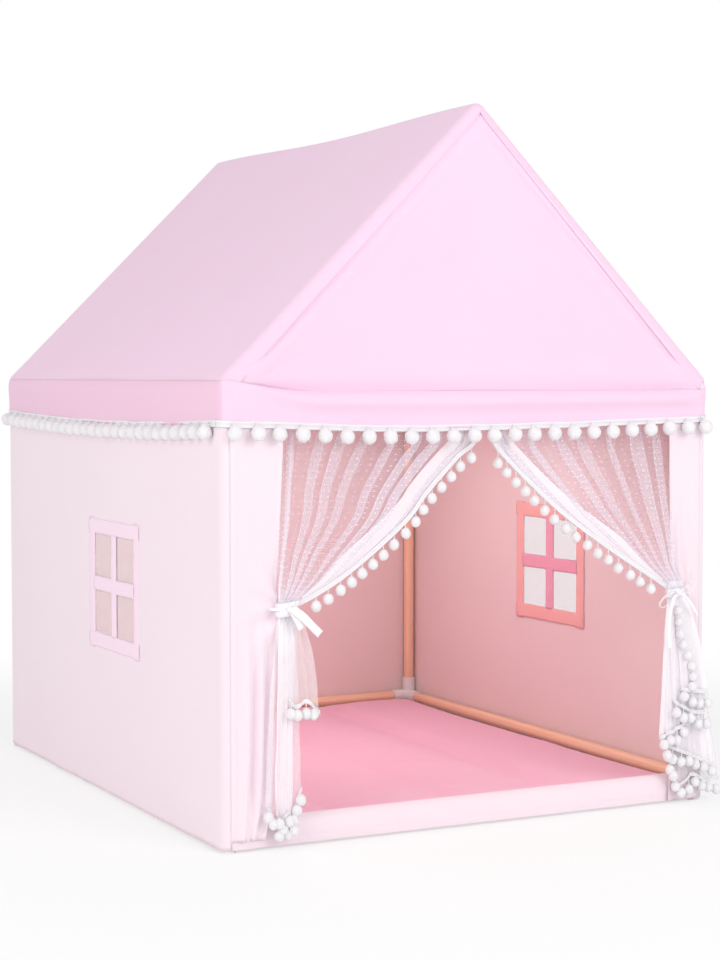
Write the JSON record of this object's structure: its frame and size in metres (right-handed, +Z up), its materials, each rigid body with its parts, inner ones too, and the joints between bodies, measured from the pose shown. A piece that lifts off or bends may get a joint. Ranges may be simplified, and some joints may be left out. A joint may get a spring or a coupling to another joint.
{
  "type": "kids play tent",
  "caption": "House-shaped kids play tent: pitched cotton cover on a wooden pole frame, with tied-back sheer curtains, pom-pom trims, netted windows and a padded floor mat.",
  "frame": {"origin": "on the floor, below the middle of the cabin", "axes": "+X to the right and +Y to the back as seen from in front of the doorway, +Z up; the doorway faces -Y"},
  "size_m": [1.1104, 1.3033, 1.36],
  "materials": {
    "pine": "matte",
    "socket_plastic": "matte",
    "roof_pink": "matte",
    "gable_pink": "matte",
    "wall_cotton": "matte",
    "window_pink": "matte",
    "tulle": "sheer",
    "trim_white": "matte",
    "mat_pink": "matte"
  },
  "bodies": {
    "tent": {"floor_rail_front": "pine", "floor_rail_back": "pine", "floor_rail_left": "pine", "floor_rail_right": "pine", "upright_front_left": "pine", "upright_front_right": "pine", "upright_back_left": "pine", "upright_back_right": "pine", "eave_rail_front": "pine", "eave_rail_back": "pine", "eave_rail_left": "pine", "eave_rail_right": "pine", "rafter_front_left": "pine", "rafter_front_right": "pine", "rafter_back_left": "pine", "rafter_back_right": "pine", "ridge_pole": "pine", "floor_corner_front_left": "socket_plastic", "floor_corner_front_right": "socket_plastic", "floor_corner_back_left": "socket_plastic", "floor_corner_back_right": "socket_plastic", "eave_corner_front_left": "socket_plastic", "eave_corner_front_right": "socket_plastic", "eave_corner_back_left": "socket_plastic", "eave_corner_back_right": "socket_plastic", "ridge_joint_front": "socket_plastic", "ridge_joint_back": "socket_plastic", "roof_left": "roof_pink", "roof_right": "roof_pink", "gable_front": "gable_pink", "gable_back": "gable_pink", "valance_front": "gable_pink", "valance_back": "gable_pink", "valance_left": "roof_pink", "valance_right": "roof_pink", "wall_left": "wall_cotton", "wall_right": "wall_cotton", "wall_back": "wall_cotton", "jamb_left": "wall_cotton", "jamb_right": "wall_cotton", "threshold_band": "wall_cotton", "window_frame_left": "window_pink", "window_frame_right": "window_pink", "window_net_left": "tulle", "window_net_right": "tulle", "trim_front": "trim_white", "trim_back": "trim_white", "trim_left": "trim_white", "trim_right": "trim_white", "curtain_left": "tulle", "curtain_right": "tulle", "hem_trim_left": "trim_white", "hem_trim_right": "trim_white"},
    "left_tail": {"tail_left": "tulle", "tail_trim_left": "trim_white", "tie_left": "trim_white"},
    "right_tail": {"tail_right": "tulle", "tail_trim_right": "trim_white", "tie_right": "trim_white"},
    "mat": {"floor_mat": "mat_pink"}
  },
  "joints": [
    {"name": "left_tail_swing", "type": "hinge", "parent": "tent", "child": "left_tail", "pos_m": [-0.404, -0.6258, 0.445], "axis": [-1, 0, 0], "range_deg": [0, 30]},
    {"name": "right_tail_swing", "type": "hinge", "parent": "tent", "child": "right_tail", "pos_m": [0.4435, -0.6258, 0.439], "axis": [-1, 0, 0], "range_deg": [0, 30]},
    {"name": "mat_lift", "type": "slide", "parent": "tent", "child": "mat", "axis": [0, 0, 1], "range_m": [0, 0.3]}
  ]
}
